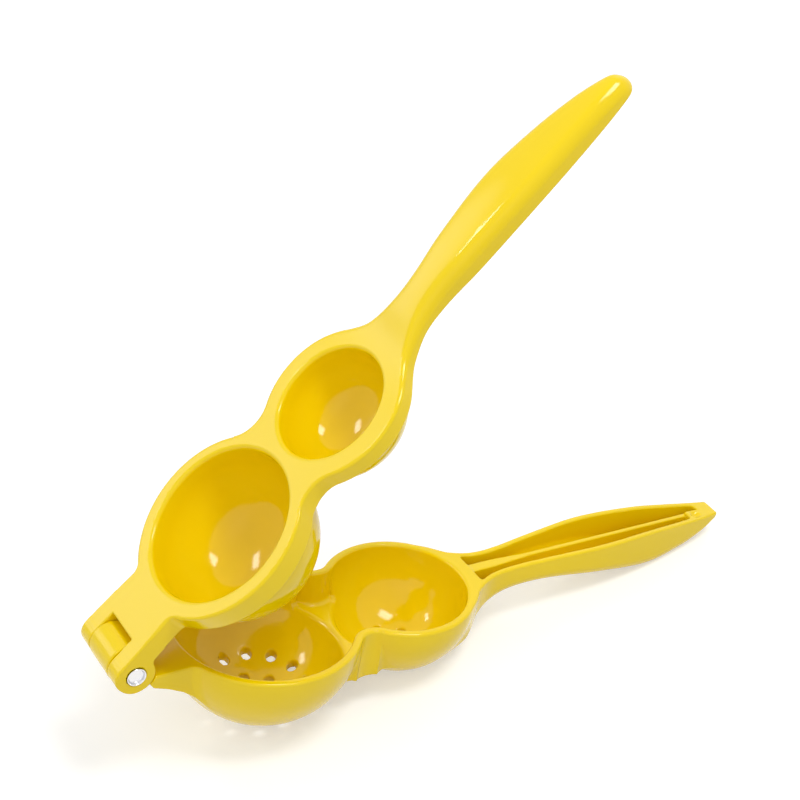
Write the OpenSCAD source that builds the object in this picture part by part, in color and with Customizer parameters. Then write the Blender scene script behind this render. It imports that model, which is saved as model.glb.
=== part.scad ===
// Hinged two-cup lemon squeezer: a press arm and a strainer arm on one hinge pin.
// Both arms are drawn in the hinge frame: origin on the pin's axis, +X along the
// closed handles, +Y along the pin. place_arm() then stands them on the table.

/* [Cups] */
// Hinge axis to the centre of the large cup and bowl
large_x = 57.5; // [56:0.5:59]
// Hinge axis to the centre of the small cup and bowl
small_x = 115.5; // [114:0.5:117]
// Outer radius of the large press cup's rim
large_rim_r = 35.4; // [34:0.1:36]
// Outer radius of the small press cup's rim
small_rim_r = 30.2; // [29:0.1:31]
// Inner radius of the large press cup
large_cup_r = 29.2; // [28:0.1:29.5]
// Inner radius of the small press cup
small_cup_r = 21.7; // [20:0.1:22]
// Rounding of the cups' inner lips
lip_r = 1.8; // [1:0.1:2]

/* [Bowls] */
// Outer radius of the large strainer bowl
large_bowl_r = 37.3; // [37:0.1:38]
// Outer radius of the small strainer bowl
small_bowl_r = 30; // [29.5:0.1:30.5]
// Wall of the strainer bowls
bowl_wall = 3.2; // [2.6:0.1:3.4]
// Diameter of the juice holes
drain_d = 4; // [3:0.5:5]

/* [Hinge] */
// Diameter of the hinge pin
pin_d = 7; // [6:0.5:7]
// Radius of the press arm's two ears
ear_r = 7.4; // [7.2:0.1:7.5]
// Width over the ears at the pin
fork_w = 31; // [30:0.5:32]
// Width of the slot between the ears
slot_w = 16.2; // [15:0.1:17]
// Play between the knuckle and each ear
side_play = 0.2; // [0.1:0.05:0.4]

/* [Handles] */
// Wall of the hollow handles
handle_wall = 2.4; // [2:0.1:2.8]
// Thickness of the rib along each handle
rib_w = 2; // [1.5:0.1:3]

/* [Pose] */
// Angle between the arms
open_angle = 46.4; // [46:0.1:47]
// Slope of the strainer arm as it stands on its large bowl and its handle
pitch = 8; // [7.8:0.05:8.1]

/* [Hidden] */
$fn = 96;
lip_cut = 0.15;
far = 400;

// Heights in the hinge frame
press_top = 7.3;
press_under = -1.2;
skirt_under = -1.7;
small_under = 0.3;
bowl_rim = -2.2;

// Press cups, each [centre height of the inner ball, radius and height of the step,
// drop of the step, lowest point of the floor, radius and centre height of the outer ball]
large_press = [0.2, 17.3, 1.2, -30, 30.8, -2.2];
small_press = [2.4, 13.2, 1.0, -18.2, 26.5, 5.4];
press_neck_r = 12;
hollow_dip = 0.15;

// Strainer bowls
large_bowl_z = -3.9;
small_bowl_z = -4.9;
bowl_neck_r = 6.5;
web_under = -22.3;
web_len = 28;
web_inset = 0.3;
neck_floor = -17;
large_rings = [[0, 1], [0.255 * large_bowl_r, 6], [0.496 * large_bowl_r, 12]];
small_rings = [[0, 1], [0.3 * small_bowl_r, 6]];

// Hinge
press_bore_r = pin_d / 2 - 0.02;
knuckle_bore_r = pin_d / 2 + 0.06;
knuckle_r = ear_r + 0.5;
knuckle_w = slot_w - 2 * side_play;
shoulder_r = ear_r + 0.4;
slot_back = knuckle_r + 0.4;
fork_root_w = 29.4;
fork_root_x = 26;
fork_corner_r = 2;
ear_corner_r = 6;
pin_dome = 0.5;
bore_chamfer = 0.35;
pin_proud = 0.4;

// Handles: [distance from the hinge, half width, rim height, back height]
press_end = 267.4;
bowl_end = 269;
handle_start = small_x + 22.5;
press_stations = [
    [handle_start, 19.0, 0.9, 6.6], [146, 13.2, 2.3, 8.9], [156, 9.8, 4.8, 11.8],
    [168, 8.9, 5.6, 14.4], [184, 10.4, 6.8, 16.8], [210, 11.8, 8.8, 18.8],
    [232, 10.3, 8.2, 18.2], [250, 8.0, 7.2, 16.5], [262, 5.7, 6.4, 14.3],
    [press_end, 3.9, 6.3, 12.6]
];
bowl_stations = [
    [handle_start, 19.0, -3.4, -24.0], [146, 12.4, -2.3, -19.4], [154, 8.6, -1.7, -16.2],
    [164, 8.0, -0.9, -13.0], [180, 9.4, 0.2, -11.5], [206, 11.4, 1.3, -13.4],
    [232, 9.8, 1.1, -16.7], [250, 7.6, -0.2, -14.4], [262, 5.7, -1.1, -9.8],
    [bowl_end, 4.4, -1.3, -5.6]
];
nose_len = 7;
channel_start = 148.5;
channel_end = 261.5;
channel_nose = 5;
channel_floor = 3;
rib_end = 257;
rib_top = -2.1;
rib_root = 2.3;
near_end = 254.5;
dimple = [258.2, -2.9, 2.2, 1.1];
section_n = 4;
arc_steps = 16;
loft_steps = 20;
channel_steps = 14;

// Where the strainer arm touches the table, in the hinge frame
foot_flat = 0.45;
foot_x = large_x * cos(pitch) + large_bowl_z * sin(pitch);
foot_z = -large_x * sin(pitch) + large_bowl_z * cos(pitch) - large_bowl_r + foot_flat;

// ---- Curves ----

// Cubic curve through the stations' column c, at distance x
function span(st, x, i = 0) = i >= len(st) - 2 || x < st[i + 1][0] ? i : span(st, x, i + 1);
function slope(st, i, c) =
    let (a = max(i - 1, 0), b = min(i + 1, len(st) - 1))
    (st[b][c] - st[a][c]) / (st[b][0] - st[a][0]);
function cubic(p, q, m, n, t) =
    p * (2 * t * t * t - 3 * t * t + 1) + q * (3 * t * t - 2 * t * t * t)
    + m * (t * t * t - 2 * t * t + t) + n * (t * t * t - t * t);
function at(st, x, c) =
    let (i = span(st, x), h = st[i + 1][0] - st[i][0], t = (x - st[i][0]) / h)
    cubic(st[i][c], st[i + 1][c], h * slope(st, i, c), h * slope(st, i + 1, c), t);

// Half of a squarish oval, from side to side over its back
function bulge(v) = sign(v) * pow(abs(v), 2 / section_n);
function half_oval(x, w, rim, back) = [
    for (k = [0:arc_steps])
        let (t = 180 * k / arc_steps)
        [x, -w * bulge(cos(t)), rim + (back - rim) * bulge(sin(t))]
];

// Solid through rings of equal length, closed at both ends
module loft(rings) {
    n = len(rings[0]);
    m = len(rings);
    polyhedron(
        points = [for (r = rings) each r],
        faces = concat(
            [[for (k = [0:n - 1]) k]],
            [[for (k = [n - 1:-1:0]) (m - 1) * n + k]],
            [for (j = [0:m - 2]) for (k = [0:n - 1])
                [j * n + k, (j + 1) * n + k, (j + 1) * n + (k + 1) % n]],
            [for (j = [0:m - 2]) for (k = [0:n - 1])
                [j * n + k, (j + 1) * n + (k + 1) % n, j * n + (k + 1) % n]]
        )
    );
}

// Narrowing of the press handle's round nose
function nose(x) = let (u = max(0, (x - press_end + nose_len) / nose_len)) sqrt(1 - 0.72 * u * u);

// ---- Plan shapes ----

// Centre of the round hollow of radius neck_r between discs of radius r1 and r2.
// It dips into the discs by hollow_dip, so that no two walls only graze each other.
function hollow_at(r1, r2, neck_r) =
    let (
        gap = small_x - large_x,
        a = r1 + neck_r - hollow_dip,
        b = r2 + neck_r - hollow_dip,
        hx = (a * a - b * b + gap * gap) / (2 * gap)
    )
    [large_x + hx, sqrt(a * a - hx * hx)];

// Neck between the two discs, without the discs
module neck_plan(r1, r2, neck_r) {
    c = hollow_at(r1, r2, neck_r);
    difference() {
        polygon([[large_x, 0], c, [small_x, 0], [c[0], -c[1]]]);
        for (s = [-1, 1]) translate([c[0], s * c[1]]) circle(r = neck_r);
    }
}

// Fork that runs from the large rim to the ears, with hollow corners at the rim
module fork_plan() {
    y = fork_root_w / 2;
    cy = y + fork_corner_r;
    cx = large_x - sqrt(pow(large_rim_r + fork_corner_r - hollow_dip, 2) - cy * cy);
    polygon([
        [-ear_r, -fork_w / 2], [0, -fork_w / 2], [cx, -y], [large_x, -y],
        [large_x, y], [cx, y], [0, fork_w / 2], [-ear_r, fork_w / 2]
    ]);
    difference() {
        polygon([[cx, -cy], [large_x, 0], [cx, cy]]);
        for (s = [-1, 1]) translate([cx, s * cy]) circle(r = fork_corner_r);
    }
}

// ---- Press arm ----

// Side view of an ear: round below the pin, with a rounded top front corner
module ear_side() {
    circle(r = ear_r);
    translate([-ear_r, 0]) square([ear_r + 1, press_top - ear_corner_r]);
    translate([ear_corner_r - ear_r, 0]) square([slot_back + ear_r, press_top]);
    translate([ear_corner_r - ear_r, press_top - ear_corner_r]) circle(r = ear_corner_r);
    translate([0, press_under]) square([fork_root_x + 4, press_top - press_under]);
}

module fork() {
    intersection() {
        rotate([90, 0, 0]) linear_extrude(fork_w + 10, center = true) ear_side();
        translate([0, 0, -20]) linear_extrude(40) fork_plan();
    }
}

// Outer form of a press cup: a ball that runs up into a drum
module press_dome(x, ball_r, ball_z) {
    top = 1;
    translate([x, 0, 0]) rotate_extrude() {
        intersection() {
            translate([0, ball_z]) circle(r = ball_r);
            translate([0, -60]) square([60, 60 + min(ball_z, top)]);
        }
        if (ball_z < top) translate([0, ball_z]) square([ball_r, top - ball_z]);
    }
}

// Hollow of a press cup: lip, drum, ball, then a stepped floor
module press_hollow(x, r, ball_z, step_r, step_drop, floor_z) {
    step_z = ball_z - sqrt(r * r - step_r * step_r);
    rise = step_z - step_drop - floor_z;
    floor_r = (step_r * step_r + rise * rise) / (2 * rise);
    translate([x, 0, 0]) rotate_extrude() {
        translate([0, ball_z]) square([r, 20]);
        translate([0, press_top - lip_r]) difference() {
            square([r + lip_r, lip_r + 3]);
            translate([r + lip_r, lip_cut]) circle(r = lip_r);
            translate([r + lip_r - 0.01, -1]) square([1, lip_r + lip_cut + 1]);
        }
        intersection() {
            translate([0, ball_z]) circle(r = r);
            translate([0, step_z]) square([r, ball_z - step_z]);
        }
        translate([0, step_z - step_drop]) square([step_r, step_drop + 0.5]);
        intersection() {
            translate([0, floor_z + floor_r]) circle(r = floor_r);
            translate([0, floor_z - 1]) square([step_r, rise + 1.5]);
        }
    }
}

function press_ring(x) =
    let (
        w = at(press_stations, x, 1) * nose(x),
        rim = at(press_stations, x, 2),
        back = at(press_stations, x, 3),
        mid = (rim + back) / 2,
        half = (back - rim) / 2
    )
    half_oval(x, -w, mid - half * nose(x), mid + half * nose(x));

// Hollow along the press handle's underside
function press_channel_ring(x) =
    let (
        u = max(0, (x - channel_end + channel_nose) / channel_nose),
        w = (at(press_stations, x, 1) - handle_wall) * sqrt(1 - 0.8 * u * u),
        rim = at(press_stations, x, 2),
        back = at(press_stations, x, 3) - channel_floor
    )
    concat([[x, w, rim - 4]], half_oval(x, -w, rim, back), [[x, -w, rim - 4]]);

module handle_loft() {
    step = (press_end - handle_start) / loft_steps;
    loft([for (k = [0:loft_steps]) press_ring(handle_start + k * step)]);
}

// Rib along a channel, thicker where it leaves the cups
module rib_plan(start) {
    w = rib_w / 2;
    polygon([
        [start - 1, -rib_root], [start + 10, -rib_root], [start + 28, -w], [rib_end, -w],
        [rib_end, w], [start + 28, w], [start + 10, rib_root], [start - 1, rib_root]
    ]);
}

module press_channel() {
    start = channel_start + 6;
    step = (channel_end - start) / channel_steps;
    difference() {
        loft([for (k = [0:channel_steps]) press_channel_ring(start + k * step)]);
        linear_extrude(30) rib_plan(start);
    }
}

module press_plate() {
    h = press_top - small_under;
    translate([large_x, 0, skirt_under]) cylinder(r = large_rim_r, h = press_top - skirt_under);
    translate([small_x, 0, small_under]) cylinder(r = small_rim_r, h = h);
    translate([0, 0, small_under]) linear_extrude(h)
        neck_plan(large_rim_r, small_rim_r, press_neck_r);
}

module press_arm_flat() {
    difference() {
        union() {
            press_plate();
            fork();
            press_dome(large_x, large_press[4], large_press[5]);
            press_dome(small_x, small_press[4], small_press[5]);
            handle_loft();
        }
        press_hollow(large_x, large_cup_r, large_press[0], large_press[1], large_press[2],
            large_press[3]);
        press_hollow(small_x, small_cup_r, small_press[0], small_press[1], small_press[2],
            small_press[3]);
        translate([-20, -slot_w / 2, -20]) cube([20 + slot_back, slot_w, 40]);
        rotate([90, 0, 0]) cylinder(r = press_bore_r, h = fork_w + 10, center = true);
        for (s = [-1, 1]) rotate([s * 90, 0, 0]) translate([0, 0, fork_w / 2 - bore_chamfer])
            cylinder(r1 = press_bore_r, r2 = press_bore_r + 2 * bore_chamfer, h = 2 * bore_chamfer);
        press_channel();
    }
}

// ---- Strainer arm ----

// Ball with a short drum above it, from its lowest point up to height top
module bowl_form(x, r, ball_z, top) {
    translate([x, 0, 0]) rotate_extrude() {
        intersection() {
            translate([0, ball_z]) circle(r = r);
            translate([0, ball_z - r - 1]) square([r + 1, r + 1]);
        }
        translate([0, ball_z]) square([r, top - ball_z]);
    }
}

// Straight part of the web, which carries on under both bowls
module web_plan() {
    c = hollow_at(large_bowl_r, small_bowl_r, bowl_neck_r);
    y = c[1] - bowl_neck_r - web_inset;
    translate([c[0] - web_len / 2, -y]) square([web_len, 2 * y]);
}

module bowl_outside() {
    bowl_form(large_x, large_bowl_r, large_bowl_z, bowl_rim);
    bowl_form(small_x, small_bowl_r, small_bowl_z, bowl_rim);
    translate([0, 0, web_under]) linear_extrude(bowl_rim - web_under) difference() {
        union() {
            neck_plan(large_bowl_r, small_bowl_r, bowl_neck_r);
            web_plan();
        }
        translate([large_x, 0]) circle(r = large_bowl_r - 12);
        translate([small_x, 0]) circle(r = small_bowl_r - 12);
    }
}

module bowl_inside() {
    top = 10;
    bowl_form(large_x, large_bowl_r - bowl_wall, large_bowl_z, top);
    bowl_form(small_x, small_bowl_r - bowl_wall, small_bowl_z, top);
    translate([0, 0, neck_floor]) linear_extrude(top - neck_floor) difference() {
        neck_plan(large_bowl_r - bowl_wall, small_bowl_r - bowl_wall, bowl_neck_r + bowl_wall);
        translate([large_x, 0]) circle(r = large_bowl_r - 12);
        translate([small_x, 0]) circle(r = small_bowl_r - 12);
    }
}

module drains(x, rings) {
    for (ring = rings) for (k = [0:ring[1] - 1])
        translate([x, 0, -60]) rotate([0, 0, (k + 0.5) * 360 / ring[1]])
            translate([ring[0], 0, 0]) cylinder(d = drain_d, h = 55);
}

// Side view of the tongue between the knuckle and the large bowl
module tongue_side() {
    polygon([
        [2, bowl_rim], [30, bowl_rim], [30, -22], [24, -17], [19, -13],
        [13, -9.8], [7.2, -7.6], [5.4, -5.2], [2, -4]
    ]);
}

module knuckle() {
    rotate([90, 0, 0]) cylinder(r = knuckle_r, h = knuckle_w, center = true);
    rotate([90, 0, 0]) linear_extrude(knuckle_w, center = true) {
        tongue_side();
        polygon([[0, 0], [6, bowl_rim], [7.2, -7.6], [1, -7.2]]);
    }
}

module tongue() {
    difference() {
        rotate([90, 0, 0]) linear_extrude(fork_w - 0.4, center = true) tongue_side();
        rotate([90, 0, 0]) cylinder(r = shoulder_r, h = fork_w + 10, center = true);
    }
}

function bowl_ring(x) =
    half_oval(x, at(bowl_stations, x, 1), at(bowl_stations, x, 2), at(bowl_stations, x, 3));

function bowl_channel_ring(x) =
    let (
        u = max(0, (x - channel_end + channel_nose) / channel_nose),
        w = (at(bowl_stations, x, 1) - handle_wall) * sqrt(1 - 0.8 * u * u),
        rim = at(bowl_stations, x, 2),
        back = at(bowl_stations, x, 3) + channel_floor
    )
    concat([[x, -w, rim + 4]], half_oval(x, w, rim, back), [[x, w, rim + 4]]);

module bowl_handle() {
    step = (bowl_end - handle_start) / loft_steps;
    loft([for (k = [0:loft_steps]) bowl_ring(handle_start + k * step)]);
}

module bowl_channel() {
    step = (channel_end - channel_start) / channel_steps;
    difference() {
        loft([for (k = [0:channel_steps]) bowl_channel_ring(channel_start + k * step)]);
        translate([0, 0, -30]) linear_extrude(30 + rib_top) rib_plan(channel_start);
        translate([near_end, -20, -30]) cube([20, 20, 40]);
    }
}

// Round dimple in the pad at the end of the handle
module dimple() {
    r = (dimple[2] * dimple[2] + dimple[3] * dimple[3]) / (2 * dimple[3]);
    top = at(bowl_stations, dimple[0], 2);
    translate([dimple[0], dimple[1], top + r - dimple[3]]) sphere(r = r);
}

module strainer_arm_flat() {
    difference() {
        union() {
            bowl_outside();
            tongue();
            knuckle();
            bowl_handle();
        }
        bowl_inside();
        bowl_channel();
        dimple();
        drains(large_x, large_rings);
        drains(small_x, small_rings);
        rotate([90, 0, 0]) cylinder(r = knuckle_bore_r, h = fork_w, center = true);
    }
}

// ---- Placing ----

// Hinge frame to table frame: z = 0 is the table, x = 0 the middle of the bowl's foot
module place_arm(angle) {
    translate([-foot_x, 0, -foot_z]) rotate([0, pitch - angle, 0]) children();
}

module strainer_arm() {
    color([0.96, 0.80, 0.12]) difference() {
        place_arm(0) strainer_arm_flat();
        translate([-far, -far, -50]) cube([2 * far, 2 * far, 50]);
    }
}

module press_arm() {
    color([0.96, 0.80, 0.12]) place_arm(open_angle) press_arm_flat();
}

// Round bar with shallow domed ends, held by the ears
module hinge_pin() {
    half = fork_w / 2 + pin_proud - pin_dome;
    r = pin_d / 2;
    dome_r = (r * r + pin_dome * pin_dome) / (2 * pin_dome);
    color([0.78, 0.79, 0.81]) place_arm(0) rotate([90, 0, 0]) rotate_extrude() {
        translate([0, -half]) square([r, 2 * half]);
        for (s = [-1, 1]) scale([1, s]) intersection() {
            translate([0, half + pin_dome - dome_r]) circle(r = dome_r, $fn = 360);
            translate([0, half - 0.5]) square([r, pin_dome + 0.5]);
        }
    }
}

strainer_arm();
press_arm();
hinge_pin();
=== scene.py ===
"""Hinged two-cup lemon squeezer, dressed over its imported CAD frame.

Both castings are closed solids given by distance fields, in millimetres and in the hinge frame:
origin on the pin's axis, +X along the closed handles, +Y along the pin. A field is negative
inside. Each is meshed, thinned, laid exactly on its field, and then turned into the row frame.
"""

import math

import bmesh
import bpy
import numpy as np
from mathutils import Matrix, Vector


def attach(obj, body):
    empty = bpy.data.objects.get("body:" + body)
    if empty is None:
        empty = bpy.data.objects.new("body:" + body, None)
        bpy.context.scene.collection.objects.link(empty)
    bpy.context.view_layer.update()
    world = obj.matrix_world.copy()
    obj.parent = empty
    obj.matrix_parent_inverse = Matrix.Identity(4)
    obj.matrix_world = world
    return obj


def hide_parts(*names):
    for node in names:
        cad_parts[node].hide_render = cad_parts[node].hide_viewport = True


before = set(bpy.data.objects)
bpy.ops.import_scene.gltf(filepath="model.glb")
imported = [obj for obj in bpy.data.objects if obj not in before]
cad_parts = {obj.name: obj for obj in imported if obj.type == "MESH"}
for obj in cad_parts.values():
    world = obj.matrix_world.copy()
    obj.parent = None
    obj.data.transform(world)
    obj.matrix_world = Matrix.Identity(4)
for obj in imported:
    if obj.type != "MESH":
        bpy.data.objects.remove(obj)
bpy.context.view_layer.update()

# ---- Places, the same as in the CAD model ----

LARGE_X, SMALL_X = 57.5, 115.5  # middles of the large and the small bowl
PITCH, OPEN = 8.0, 46.4  # degrees: the strainer arm's tilt, and the press arm's opening at rest
PIN = (-56.398, 0.0, 48.7145)  # the hinge in the row frame

# ---- Hinge ----

PIN_R, KNUCKLE_BORE, EAR_BORE = 3.46, 3.56, 3.72
KNUCKLE_R, KNUCKLE_HALF = 7.9, 7.9
EAR_R, SLOT_HALF, SLOT_END = 7.4, 8.1, 8.3
TONGUE_HALF, TONGUE_HOLLOW = 15.3, 7.8
# [radius, distance along the pin] of the riveted end, from its middle out
RIVET_END = [
    (0, 14.4), (1.2, 14.4), (2.1, 14.41), (2.55, 14.48), (2.8, 14.68), (2.95, 15.1), (3.08, 15.5), (3.18, 15.72),
    (3.3, 15.85), (3.44, 15.88), (3.57, 15.8), (3.64, 15.62), (3.62, 15.42), (3.52, 15.2), (3.47, 14.9), (PIN_R, 14.4),
]
PIN_SIDES = 64

# ---- Press arm ----

# Each cup: [along the handle, off the middle, height of the ball, its radius, dish radius, floor's height, lip]
CUPS = [(57.8, -0.3, 0.2, 29.4, 17.2, -26.5, 1.7), (115.2, 0.3, 2.0, 21.7, 13.6, -17.1, 1.5)]
# Each dome: [along the handle, height of the ball, its radius, fillet to the rim]
DOMES = [(LARGE_X, -2.2, 30.8, 2.4), (SMALL_X, 5.4, 26.5, 2.0)]
DOME_TOP = 3
CREASE = 2.5
PRESS_END = 267.35
# [distance from the hinge, value]
PRESS_HALF_W = [
    (128, 20.0), (138, 18.6), (146, 13.2), (156, 9.8), (168, 8.9), (184, 10.4), (210, 11.8), (232, 10.3),
    (250, 8.0), (262, 5.7), (267.4, 3.9),
]
PRESS_TOP = [
    (126, 7.3), (134, 7.3), (140, 7.7), (146, 8.9), (156, 11.8), (168, 14.4), (184, 16.8), (210, 18.8),
    (232, 18.2), (250, 16.5), (262, 14.3), (267.4, 12.6),
]
PRESS_BOTTOM = [
    (60, -1.7), (80, -1.4), (94, 0.0), (104, 0.3), (126, 0.3), (134, 0.4), (139, 0.9), (146, 2.3), (156, 4.7),
    (168, 5.6), (184, 6.8), (210, 8.8), (232, 8.2), (250, 7.2), (262, 6.4), (267.4, 6.3),
]

# ---- Strainer arm ----

# Each bowl: [along the handle, height of the ball, radius outside, radius inside]
LARGE_BOWL, SMALL_BOWL = (LARGE_X, -3.9, 37.28, 34.1), (SMALL_X, -4.9, 30.0, 26.8)
# Juice holes of each bowl: [radius of the ring, how many]
HOLES = [(LARGE_X, [(0, 1), (9.5, 6), (18.5, 12)]), (SMALL_X, [(0, 1), (9.0, 6)])]
HOLE_R, HOLE_TOP = 2, -5
WEB_FLOOR, GATE_FLOOR = -22.3, -17
TONGUE = [
    (-4, 40), (-4, -4), (5.4, -5.2), (7.2, -7.6), (13, -9.8), (19, -13), (24, -17), (30, -22), (34, -26), (46, -26),
    (46, 40),
]
KNUCKLE_ARM = [(0, 0), (6, -2.2), (12, -2.2), (12, -9.3), (7.2, -7.6), (1, -7.2)]
STRAINER_END = 269
DIMPLE = (258.2, -2.9, 1.65, 2.75)  # along, across, above the handle's top, radius
BOWL_HALF_W = [
    (128, 20.0), (138, 18.6), (146, 12.4), (154, 8.7), (164, 8.0), (180, 9.4), (206, 11.4), (232, 9.8),
    (250, 7.6), (262, 5.7), (269, 4.4),
]
BOWL_TOP = [
    (126, -2.2), (138, -2.2), (146, -2.0), (154, -1.6), (164, -0.9), (180, 0.2), (206, 1.3), (232, 1.1),
    (250, -0.2), (262, -1.1), (269, -1.3),
]
BOWL_BACK = [
    (128, -27.0), (138, -24.0), (146, -19.4), (154, -16.2), (164, -13.0), (180, -11.5), (206, -13.4),
    (232, -16.7), (250, -14.4), (262, -9.8), (269, -5.6),
]

# ---- Both handles ----

HANDLE_WALL, CHANNEL_END, RIB_END = 2.4, 261.5, 257
RIB_HALF = [2.3, 1.0]  # half width at its root and along it

# ---- Studio ----

WHITE = (1, 1, 1, 1)
FLOOR_GLOW = 0.42
# Soft lights: [degrees round from +X, degrees up, reach in degrees, level at the middle]
GLOWS = [
    (127, 23, 18, 3.0), (112, 46, 18, 1.0), (200, 25, 65, 0.6), (45, 5, 60, 0.6), (135, 0, 36, 0.6),
    (20, 40, 50, 0.9), (250, 30, 65, 0.8),
]
LAMP_AIM, LAMP_DISTANCE = (0.03, 0, 0.09), 1.3


# ---- Distance fields ----


def round_and(a, b, r):
    """Both shapes at once, with the edge between them rounded to radius r."""
    return np.minimum(np.maximum(a, b), -r) + np.hypot(np.maximum(a + r, 0), np.maximum(b + r, 0))


def round_or(a, b, r):
    """Either shape, with a fillet of radius r where they meet."""
    return np.maximum(np.minimum(a, b), r) - np.hypot(np.maximum(r - a, 0), np.maximum(r - b, 0))


def soft_or(a, b, k):
    """Either shape, with their surfaces drawn together over a width k."""
    h = np.maximum(k - np.abs(a - b), 0) / k
    return np.minimum(a, b) - h * h * k / 4


def ramp(x, a, b, lo, hi):
    """lo before a, hi after b, smooth between them."""
    t = np.clip((x - a) / (b - a), 0, 1)
    return lo + (hi - lo) * t * t * (3 - 2 * t)


def curve(table, x):
    """Smooth curve through a table's points, and its slope."""
    p = np.array(table, np.float32)
    i = np.clip(np.searchsorted(p[:, 0], x) - 1, 0, len(p) - 2)
    m = np.empty(len(p), np.float32)
    m[1:-1] = (p[2:, 1] - p[:-2, 1]) / (p[2:, 0] - p[:-2, 0])
    m[0] = (p[1, 1] - p[0, 1]) / (p[1, 0] - p[0, 0])
    m[-1] = (p[-1, 1] - p[-2, 1]) / (p[-1, 0] - p[-2, 0])
    h = p[i + 1, 0] - p[i, 0]
    t = np.clip((x - p[i, 0]) / h, 0, 1)
    t2, t3 = t * t, t * t * t
    value = (
        p[i, 1] * (2 * t3 - 3 * t2 + 1)
        + p[i + 1, 1] * (3 * t2 - 2 * t3)
        + h * m[i] * (t3 - 2 * t2 + t)
        + h * m[i + 1] * (t3 - t2)
    )
    slope = (
        (p[i + 1, 1] - p[i, 1]) / h * (6 * t - 6 * t2)
        + m[i] * (3 * t2 - 4 * t + 1)
        + m[i + 1] * (3 * t2 - 2 * t)
    )
    return value, slope


def strip(table, y, x, inset=0.0):
    """Distance from the sides of a strip whose half width follows a table."""
    half, slope = curve(table, x)
    return (np.abs(y) - half + inset) / np.sqrt(1 + slope * slope)


def polygon(points, x, z):
    """Distance from a closed polygon."""
    best, inside = None, None
    for (ax, az), (bx, bz) in zip(points, points[1:] + points[:1]):
        ex, ez = bx - ax, bz - az
        wx, wz = x - ax, z - az
        t = np.clip((wx * ex + wz * ez) / (ex * ex + ez * ez), 0, 1)
        d = (wx - t * ex) ** 2 + (wz - t * ez) ** 2
        best = d if best is None else np.minimum(best, d)
        up = (ez > 0) & (z >= az) & (z < bz) & (ex * wz < ez * wx)
        down = (ez < 0) & (z < az) & (z >= bz) & (ex * wz > ez * wx)
        inside = up | down if inside is None else inside ^ (up | down)
    return np.where(inside, -1, 1) * np.sqrt(best)


def neck(x, y, r1, r2, neck_r):
    """The hollow of radius neck_r between two round forms: distance from it, and where it begins."""
    ay = np.abs(y)
    gap = SMALL_X - LARGE_X
    a, b = r1 + neck_r, r2 + neck_r
    hx = (a * a - b * b + gap * gap) / (2 * gap)
    cx, cy = LARGE_X + hx, math.sqrt(a * a - hx * hx)
    left = (ay * hx - (x - LARGE_X) * cy) / a
    right = (ay * (SMALL_X - cx) + (x - SMALL_X) * cy) / b
    return neck_r - np.hypot(x - cx, ay - cy), np.maximum(left, right)


def bowl(x, y, z, cx, cz, r):
    """Ball with a drum of the same radius above its middle."""
    return np.hypot(np.hypot(x - cx, y), np.minimum(z - cz, 0)) - r


def cup_hollow(x, y, z, cx, cy, cz, r, dish_r, floor_z):
    """Hollow of a press cup: a bowl whose bottom is a flatter dish of radius dish_r, met in a soft crease."""
    rise = cz - math.sqrt(r * r - dish_r * dish_r) - floor_z
    floor_r = (dish_r * dish_r + rise * rise) / (2 * rise)
    dish = np.hypot(np.hypot(x - cx, y - cy), z - floor_z - floor_r) - floor_r
    return round_and(bowl(x, y - cy, z, cx, cz, r), np.maximum(dish, z - 4 * r), CREASE)


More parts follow.
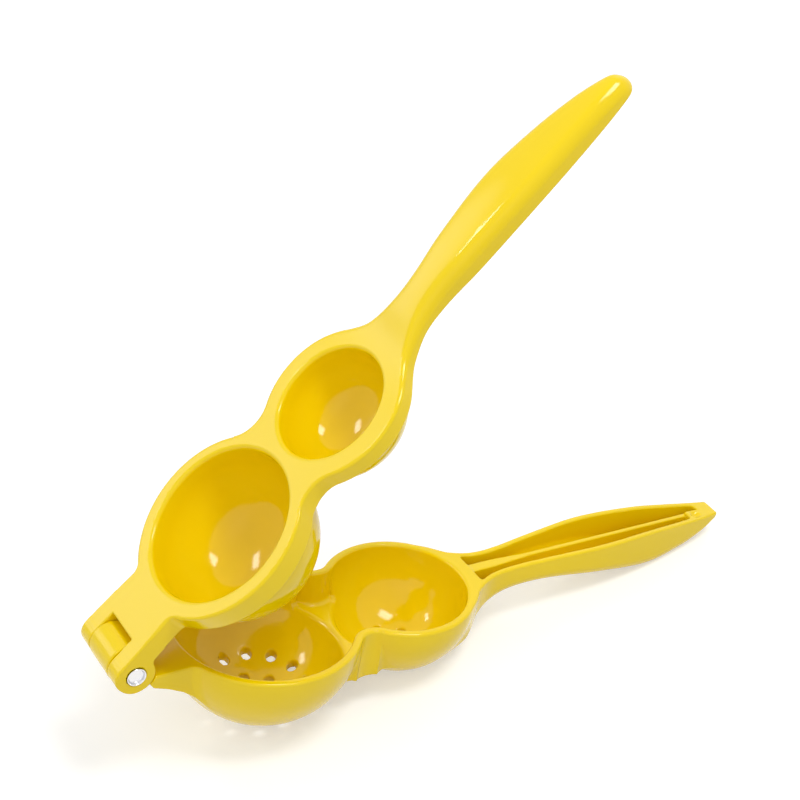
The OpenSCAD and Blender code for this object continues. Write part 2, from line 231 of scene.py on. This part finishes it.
def press_field(x, y, z):
    ay, from_pin = np.abs(y), np.hypot(x, z)

    # Plan: two round rims and their neck, the fork, and the handle
    large, small = np.hypot(x - LARGE_X + 0.3, y + 0.4) - 35.8, np.hypot(x - SMALL_X, y) - 30.2
    arc, side = neck(x, y, 35.6, 30.2, 12.0)
    plan = np.where(side < 0, arc, np.minimum(large, small))
    fork = ay - np.interp(x, [-8, 0, 24], [15.7, 15.5, 14.7])
    plan = round_or(plan, np.maximum(fork, x - LARGE_X), 2.0)
    grip = round_and(strip(PRESS_HALF_W, y, x), x - PRESS_END, 3.8)
    plan = soft_or(plan, np.maximum(grip, 128 - x), 1.5)

    # Top, with a crown on the handle, and underside
    height, rise = curve(PRESS_TOP, x)
    tilt = np.sqrt(1 + rise * rise)
    half = np.maximum(curve(PRESS_HALF_W, x)[0], 4)
    crown = ramp(x, 134, 170, 0, 0.9)
    top = (z - height + crown * np.minimum(ay / half, 1.2) ** 2) / tilt
    under, fall = curve(PRESS_BOTTOM, x)
    under = under + ramp(x, 20, 27, 0.5, 0) + ramp(x, -4, 2, 1.7, 0)
    under = (under - z) / np.sqrt(1 + fall * fall)

    # The top's edge is sharper on the near side of the rims and widest along the handle
    edge = ramp(x, 15, 35, 0.9, 1.0) + ramp(x, 126, 165, 0, 3.3) + ramp(x, 250, 266, 0, 0.4)
    edge = edge + ramp(x, 15, 35, 0, 1.2) * ramp(x, 126, 165, 1, 0) * ramp(y, -15, 15, 0, 1)

    front = round_and(-EAR_R - x, top, 6.0)
    hinge_side = round_or(np.maximum(front, under), from_pin - EAR_R, ramp(x, 2, 5, 0.02, 1.6))
    hinge = round_and(plan, hinge_side, 0.55)
    rest = round_and(round_and(plan, top, edge), under, 0.9)
    body = np.where(x < 14, hinge, rest)

    for cx, cz, r, fillet in DOMES:
        body = round_or(body, np.maximum(bowl(x, y, z, cx, cz, r), z - DOME_TOP), fillet)
    for cx, cy, cz, r, dish_r, floor_z, lip in CUPS:
        body = round_and(body, -cup_hollow(x, y, z, cx, cy, cz, r, dish_r, floor_z), lip)

    # Slot and bore
    body = round_and(body, -np.maximum(ay - SLOT_HALF, x - SLOT_END), 0.5)
    body = round_and(body, EAR_BORE - from_pin, 0.25)

    # Channel and rib along the underside of the handle
    side = round_and(strip(PRESS_HALF_W, y, x, HANDLE_WALL), (z - height + 3) / tilt, 2.5)
    hollow = round_and(round_and(side, x - CHANNEL_END, 2.0), 154.5 - x, 2.0)
    rib = ay - np.interp(x, [164, 182], RIB_HALF)
    hollow = round_and(hollow, -round_and(rib, x - RIB_END, 0.5), 0.8)
    return round_and(body, -hollow, 0.8)


def strainer_field(x, y, z):
    ay, from_pin = np.abs(y), np.hypot(x, z)

    # Outside of the two bowls, with the web and the wall between them
    (x1, z1, out1, in1), (x2, z2, out2, in2) = LARGE_BOWL, SMALL_BOWL
    body = np.minimum(bowl(x, y, z, x1, z1, out1), bowl(x, y, z, x2, z2, out2))
    arc, side = neck(x, y, 37.3, out2, 6.5)
    web = np.maximum(np.maximum(arc, side), WEB_FLOOR - z)
    wall = round_and(np.maximum(ay - 20.8, np.abs(x - 91.5) - 13), WEB_FLOOR - z, 1.0)
    low = ramp(-z, 5, 16, 0.02, 2.2)
    body = round_or(body, web, low)
    body = round_or(body, wall, low)

    # Tongue
    tongue = round_and(ay - TONGUE_HALF, polygon(TONGUE, x, z), 0.5)
    tongue = round_and(tongue, TONGUE_HOLLOW - from_pin, 0.4)
    body = round_or(body, tongue, ramp(x, 12, 24, 0.02, 2.5))

    # Handle, then one top surface over everything
    back, fall = curve(BOWL_BACK, x)
    lean = np.sqrt(1 + fall * fall)
    belly = round_and(strip(BOWL_HALF_W, y, x), (back - z) / lean, ramp(x, 245, 269, 5.5, 3.0))
    belly = round_and(np.maximum(belly, 126 - x), x - STRAINER_END, 0.7)
    body = round_or(body, belly, 2.5)
    height, rise = curve(BOWL_TOP, x)
    top = (z - height) / np.sqrt(1 + rise * rise)
    body = round_and(body, top, ramp(x, 135, 160, 1.1, 0.7))

    # Inside of the bowls, with the gate between them, and the juice holes
    arc, side = neck(x, y, in1, in2, 9.7)
    gate = round_and(np.maximum(arc, side), GATE_FLOOR - z, 2.0)
    inside = np.minimum(bowl(x, y, z, x1, z1, in1), bowl(x, y, z, x2, z2, in2))
    inside = round_or(inside, gate, ramp(-z, 5, 14, 0.02, 1.5))
    body = round_and(body, -inside, 1.1)
    for cx, rings in HOLES:
        for radius, count in rings:
            for k in range(count):
                turn = (k + 0.5) * 2 * math.pi / count
                hole = np.hypot(x - cx - radius * math.cos(turn), y - radius * math.sin(turn)) - HOLE_R
                body = round_and(body, -np.maximum(hole, z - HOLE_TOP), 0.5)

    # Knuckle
    knuckle = np.minimum(from_pin - KNUCKLE_R, polygon(KNUCKLE_ARM, x, z))
    knuckle = round_and(ay - KNUCKLE_HALF, knuckle, 0.5)
    body = np.minimum(body, knuckle)
    body = np.maximum(body, KNUCKLE_BORE - from_pin)

    # Channel in the handle, with its rib and the pad at the tip
    hollow = round_and(strip(BOWL_HALF_W, y, x, HANDLE_WALL), (back + 3 - z) / lean, 3.5)
    hollow = round_and(hollow, x - np.where(y < 0, 254.5, CHANNEL_END), 1.5)
    hollow = round_and(hollow, 148.5 - x, 1.5)
    rib = round_and(ay - np.interp(x, [158.5, 176.5], RIB_HALF), x - RIB_END, 0.5)
    rib = round_and(rib, z + 2.1, 0.4)
    hollow = round_and(hollow, -rib, 0.7)
    body = round_and(body, -hollow, 0.7)
    along, across, above, r = DIMPLE
    dimple = np.sqrt((x - along) ** 2 + (y - across) ** 2 + (z - height - above) ** 2) - r
    body = round_and(body, -dimple, 0.3)

    # The flats it stands on
    a = math.radians(PITCH)
    return np.maximum(body, -(z * math.cos(a) - x * math.sin(a) + PIN[2]))


# ---- Meshing ----

CORNERS = [(i, j, k) for i in (0, 1) for j in (0, 1) for k in (0, 1)]
EDGES = [(a, b) for a in CORNERS for b in CORNERS if a < b and sum(abs(p - q) for p, q in zip(a, b)) == 1]


def gradient(field, v, e=0.04):
    """Slope of the field at each point, over a distance e to each side."""
    g = np.empty_like(v)
    for k in range(3):
        step = np.zeros(3, v.dtype)
        step[k] = e
        p, q = (v + step).T, (v - step).T
        g[:, k] = (field(*p) - field(*q)) / (2 * e)
    return g


def settle(field, v, reach, rounds):
    """Moves points on to the surface, along the field's slope."""
    for _ in range(rounds):
        g = gradient(field, v)
        d = field(*v.T)
        size = np.maximum((g * g).sum(1), 0.25)
        move = -(d / size)[:, None] * g
        far = np.linalg.norm(move, axis=1)
        v = v + move * np.minimum(1, reach / np.maximum(far, 1e-9))[:, None]
    return v


def net(field, lo, hi, h):
    """Mesh of quads over the field's zero surface, one point for each grid cell that it crosses."""
    axes = [np.arange(a - 2 * h, b + 3 * h, h, dtype=np.float32) for a, b in zip(lo, hi)]
    shape = tuple(len(a) for a in axes)
    f = np.broadcast_to(field(axes[0][:, None, None], axes[1][None, :, None], axes[2][None, None, :]), shape)
    f = np.ascontiguousarray(f, dtype=np.float32)
    s = f < 0
    cells = tuple(n - 1 for n in shape)
    count = np.zeros(cells, np.int8)
    for i, j, k in CORNERS:
        count += s[i : i + cells[0], j : j + cells[1], k : k + cells[2]]
    active = (count > 0) & (count < 8)
    index = np.full(cells, -1, np.int32)
    at = np.argwhere(active)
    index[active] = np.arange(len(at), dtype=np.int32)
    total, hits = np.zeros((len(at), 3)), np.zeros(len(at))
    for a, b in EDGES:
        fa = f[tuple((at + a).T)].astype(float)
        fb = f[tuple((at + b).T)].astype(float)
        cut = (fa < 0) != (fb < 0)
        t = np.where(cut, fa / np.where(cut, fa - fb, 1), 0)
        point = np.array(a) + t[:, None] * (np.array(b) - np.array(a))
        total += np.where(cut[:, None], point, 0)
        hits += cut
    v = np.array([a[0] for a in axes]) + h * (at + total / hits[:, None])

    quads = []
    for axis in range(3):
        o = [slice(1, -1)] * 3
        o[axis] = slice(0, -1)
        low, high = list(o), list(o)
        high[axis] = slice(1, None)
        s0, s1 = s[tuple(low)], s[tuple(high)]
        e = np.argwhere(s0 != s1)
        out = s0[tuple(e.T)]
        start = np.ones(3, int)
        start[axis] = 0
        e = e + start
        u, w = (axis + 1) % 3, (axis + 2) % 3
        ring = []
        for du, dw in ((-1, -1), (0, -1), (0, 0), (-1, 0)):
            c = e.copy()
            c[:, u] += du
            c[:, w] += dw
            ring.append(index[tuple(c.T)])
        q = np.stack(ring, 1)
        q[~out] = q[~out][:, ::-1]
        quads.append(q)
    return v, np.concatenate(quads)


def even_out(field, v, quads, h, rounds):
    """Draws each point to the middle of its neighbours and lays it back on the surface."""
    a = np.concatenate([quads[:, k] for k in (0, 1, 2, 3)])
    b = np.concatenate([quads[:, k] for k in (1, 2, 3, 0)])
    for _ in range(rounds):
        n = np.bincount(a, minlength=len(v)) + np.bincount(b, minlength=len(v))
        sums = [np.bincount(a, v[b, k], len(v)) + np.bincount(b, v[a, k], len(v)) for k in range(3)]
        mean = np.stack(sums, 1) / n[:, None]
        v = settle(field, v + 0.5 * (mean - v), 0.4 * h, 1)
    return settle(field, v, 0.3 * h, 2)


def add_object(name, data):
    obj = bpy.data.objects.new(name, data)
    bpy.context.scene.collection.objects.link(obj)
    return obj


def casting(name, field, lo, hi, h, most, angle):
    """Finished mesh object of a field, at most so many triangles, turned into the row frame."""
    v, quads = net(field, lo, hi, h)
    v = settle(field, v, 0.5 * h, 2)
    v = even_out(field, v, quads, h, 2)
    mesh = bpy.data.meshes.new(name)
    mesh.from_pydata(v.tolist(), [], quads.tolist())
    obj = add_object(name, mesh)
    thin = obj.modifiers.new("thin", "DECIMATE")
    thin.ratio = min(1.0, most / (2 * len(quads)))
    thin.use_symmetry = False
    bpy.context.view_layer.update()
    done = bpy.data.meshes.new_from_object(obj.evaluated_get(bpy.context.evaluated_depsgraph_get()))
    obj.modifiers.clear()
    obj.data = done
    bpy.data.meshes.remove(mesh)
    done.name = name

    v = np.empty(len(done.vertices) * 3)
    done.vertices.foreach_get("co", v)
    v = settle(field, v.reshape(-1, 3), 0.25 * h, 3)
    g = gradient(field, v)
    g /= np.maximum(np.linalg.norm(g, axis=1), 1e-6)[:, None]
    a = math.radians(PITCH - angle)
    turn = np.array([[math.cos(a), 0, math.sin(a)], [0, 1, 0], [-math.sin(a), 0, math.cos(a)]])
    v = (v @ turn.T + np.array(PIN)) / 1000
    done.vertices.foreach_set("co", v.ravel())
    done.shade_smooth()
    done.update()
    done.normals_split_custom_set_from_vertices((g @ turn.T).tolist())
    return obj


def pin_mesh(name):
    """Round bar whose ends are spread into a rim round a shallow hollow, as a tubular rivet's are."""
    profile = RIVET_END + [(radius, -y) for radius, y in reversed(RIVET_END)]
    turns = [2 * math.pi * k / PIN_SIDES for k in range(PIN_SIDES)]
    bm = bmesh.new()
    rings = []
    for radius, y in profile:
        at = turns if radius else turns[:1]
        rings.append([bm.verts.new((radius * math.cos(t), y, radius * math.sin(t))) for t in at])
    for a, b in zip(rings, rings[1:]):
        for k in range(PIN_SIDES):
            n = (k + 1) % PIN_SIDES
            corners = [a[k % len(a)], a[n % len(a)], b[n % len(b)], b[k % len(b)]]
            bm.faces.new(list(dict.fromkeys(corners)))
    bmesh.ops.recalc_face_normals(bm, faces=bm.faces)
    mesh = bpy.data.meshes.new(name)
    bm.to_mesh(mesh)
    bm.free()
    mesh.transform(Matrix.Translation(Vector(PIN) / 1000) @ Matrix.Scale(0.001, 4))
    mesh.shade_smooth()
    return add_object(name, mesh)


# ---- Materials ----


def material(name):
    m = bpy.data.materials.new(name)
    m.use_nodes = True
    return m, m.node_tree.nodes, m.node_tree.links, m.node_tree.nodes["Principled BSDF"]


def noise(nodes, links, place, scale, detail=2):
    """Even noise all through the piece."""
    node = nodes.new("ShaderNodeTexNoise")
    node.inputs["Scale"].default_value = scale
    node.inputs["Detail"].default_value = detail
    links.new(place.outputs["Object"], node.inputs["Vector"])
    return node.outputs["Fac"]


def spread(nodes, links, value, ends, lo, hi):
    """Maps a value between the two ends to lo .. hi."""
    node = nodes.new("ShaderNodeMapRange")
    for socket, number in zip(("From Min", "From Max", "To Min", "To Max"), (*ends, lo, hi)):
        node.inputs[socket].default_value = number
    links.new(value, node.inputs["Value"])
    return node.outputs["Result"]


def enamel():
    """Thick glossy yellow enamel, with the faint waviness and the fine specks of a fired coat."""
    m, nodes, links, shader = material("yellow_enamel")
    place = nodes.new("ShaderNodeTexCoord")
    colour = nodes.new("ShaderNodeValToRGB")
    for stop, at, shade in zip(colour.color_ramp.elements, (0.3, 0.7), ((0.867, 0.628, 0.0), (0.892, 0.648, 0.002))):
        stop.position = at
        stop.color = (*shade, 1)
    links.new(noise(nodes, links, place, 14, 3), colour.inputs["Fac"])
    links.new(colour.outputs["Color"], shader.inputs["Base Color"])

    gloss = spread(nodes, links, noise(nodes, links, place, 60, 4), (0.3, 0.7), 0.07, 0.11)
    links.new(gloss, shader.inputs["Roughness"])

    bump = nodes.new("ShaderNodeBump")
    bump.inputs["Strength"].default_value = 0.06
    bump.inputs["Distance"].default_value = 0.0004
    links.new(noise(nodes, links, place, 220), bump.inputs["Height"])
    links.new(bump.outputs["Normal"], shader.inputs["Normal"])
    shader.inputs["IOR"].default_value = 1.5
    shader.inputs["Specular IOR Level"].default_value = 0.33
    return m


def steel():
    """Polished end of a steel pin, with a fine unevenness in its gloss."""
    m, nodes, links, shader = material("polished_steel")
    place = nodes.new("ShaderNodeTexCoord")
    gloss = spread(nodes, links, noise(nodes, links, place, 900), (0, 1), 0.06, 0.14)
    links.new(gloss, shader.inputs["Roughness"])
    shader.inputs["Base Color"].default_value = (0.78, 0.78, 0.80, 1)
    shader.inputs["Metallic"].default_value = 1.0
    return m


def backdrop_rays(nodes, links):
    """1 for rays that see the background: the camera's, and those in metal and glass."""
    path = nodes.new("ShaderNodeLightPath")
    seen = path.outputs["Is Camera Ray"]
    for kind in ("Is Glossy Ray", "Is Transmission Ray"):
        either = nodes.new("ShaderNodeMath")
        either.operation = "MAXIMUM"
        links.new(seen, either.inputs[0])
        links.new(path.outputs[kind], either.inputs[1])
        seen = either.outputs["Value"]
    return seen


def lit_floor():
    """White floor. The camera and reflections see it a little brighter, and still with its shadow."""
    m, nodes, links, shader = material("floor_white")
    shader.inputs["Base Color"].default_value = (0.7, 0.7, 0.7, 1)
    shader.inputs["Roughness"].default_value = 0.9
    shader.inputs["Specular IOR Level"].default_value = 0.0
    shader.inputs["Emission Color"].default_value = WHITE
    glow = nodes.new("ShaderNodeMath")
    glow.operation = "MULTIPLY"
    glow.inputs[1].default_value = FLOOR_GLOW
    links.new(backdrop_rays(nodes, links), glow.inputs[0])
    links.new(glow.outputs["Value"], shader.inputs["Emission Strength"])
    return m


# ---- Stage and light ----


def toward(turn, rise):
    """Direction so many degrees round from +X and up from the floor."""
    a, e = math.radians(turn), math.radians(rise)
    return Vector((math.cos(e) * math.cos(a), math.cos(e) * math.sin(a), math.sin(e)))


def studio():
    """Dark room with soft glows all round. The camera and reflections see it white."""
    world = bpy.data.worlds.new("studio")
    world.use_nodes = True
    nodes, links = world.node_tree.nodes, world.node_tree.links
    place = nodes.new("ShaderNodeTexCoord")
    total = None
    for turn, rise, reach, strength in GLOWS:
        near = nodes.new("ShaderNodeVectorMath")
        near.operation = "DOT_PRODUCT"
        near.inputs[1].default_value = toward(turn, rise)
        links.new(place.outputs["Generated"], near.inputs[0])
        fade = nodes.new("ShaderNodeMapRange")
        fade.interpolation_type = "SMOOTHSTEP"
        fade.inputs["From Min"].default_value = math.cos(math.radians(reach))
        fade.inputs["To Max"].default_value = strength
        links.new(near.outputs["Value"], fade.inputs["Value"])
        if total is None:
            total = fade.outputs["Result"]
            continue
        more = nodes.new("ShaderNodeMath")
        links.new(total, more.inputs[0])
        links.new(fade.outputs["Result"], more.inputs[1])
        total = more.outputs["Value"]
    seen = nodes.new("ShaderNodeMath")
    seen.operation = "MAXIMUM"
    links.new(total, seen.inputs[0])
    links.new(backdrop_rays(nodes, links), seen.inputs[1])
    links.new(seen.outputs["Value"], nodes["Background"].inputs["Strength"])
    nodes["Background"].inputs["Color"].default_value = WHITE
    return world


def lamp(name, turn, rise, size, power):
    """Soft box turned to the object, so many degrees round from +X and up from the floor."""
    data = bpy.data.lights.new(name, "AREA")
    data.shape = "RECTANGLE"
    data.size, data.size_y = size
    data.energy = power
    obj = add_object(name, data)
    way = toward(turn, rise)
    obj.location = Vector(LAMP_AIM) + LAMP_DISTANCE * way
    obj.rotation_euler = way.to_track_quat("Z", "Y").to_euler()


# ---- The squeezer ----

# Grid in millimetres and most triangles of a casting
step, most = ((0.6, 190000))
yellow, bright = enamel(), steel()

strainer = casting("strainer_casting", strainer_field, (-8, -38, -42), (270, 38, 8.5), step, most, 0)
strainer.data.materials.append(yellow)
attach(strainer, "strainer")
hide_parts("strainer_arm")

press = casting("press_casting", press_field, (-8, -36, -35), (270, 36, 20), step, most, OPEN)
press.data.materials.append(yellow)
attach(press, "press")
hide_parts("press_arm")

pin = pin_mesh("rivet_pin")
pin.data.materials.append(bright)
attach(pin, "press")
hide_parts("hinge_pin")

# ---- The studio ----

bpy.ops.mesh.primitive_plane_add(size=8, location=(0, 0, 0))
floor = bpy.context.object
floor.name = "floor"
floor.data.materials.append(lit_floor())

bpy.context.scene.world = studio()
lamp("window", -48, 68, (0.32, 0.50), 6.8)
lamp("strip", 140, 43, (0.30, 0.14), 1.8)

# Solved from the photograph
camera_data = bpy.data.cameras.new("camera")
camera_data.sensor_width = 36
camera_data.lens = 87.667
camera_data.clip_start = 0.01
camera = add_object("camera", camera_data)
camera.location = (-0.231041, -0.491634, 0.514077)
camera.rotation_euler = [math.radians(a) for a in (55.1506, -0.3322, -30.2035)]
bpy.context.scene.camera = camera
bpy.context.scene.view_settings.view_transform = "Standard"

bpy.context.view_layer.update()
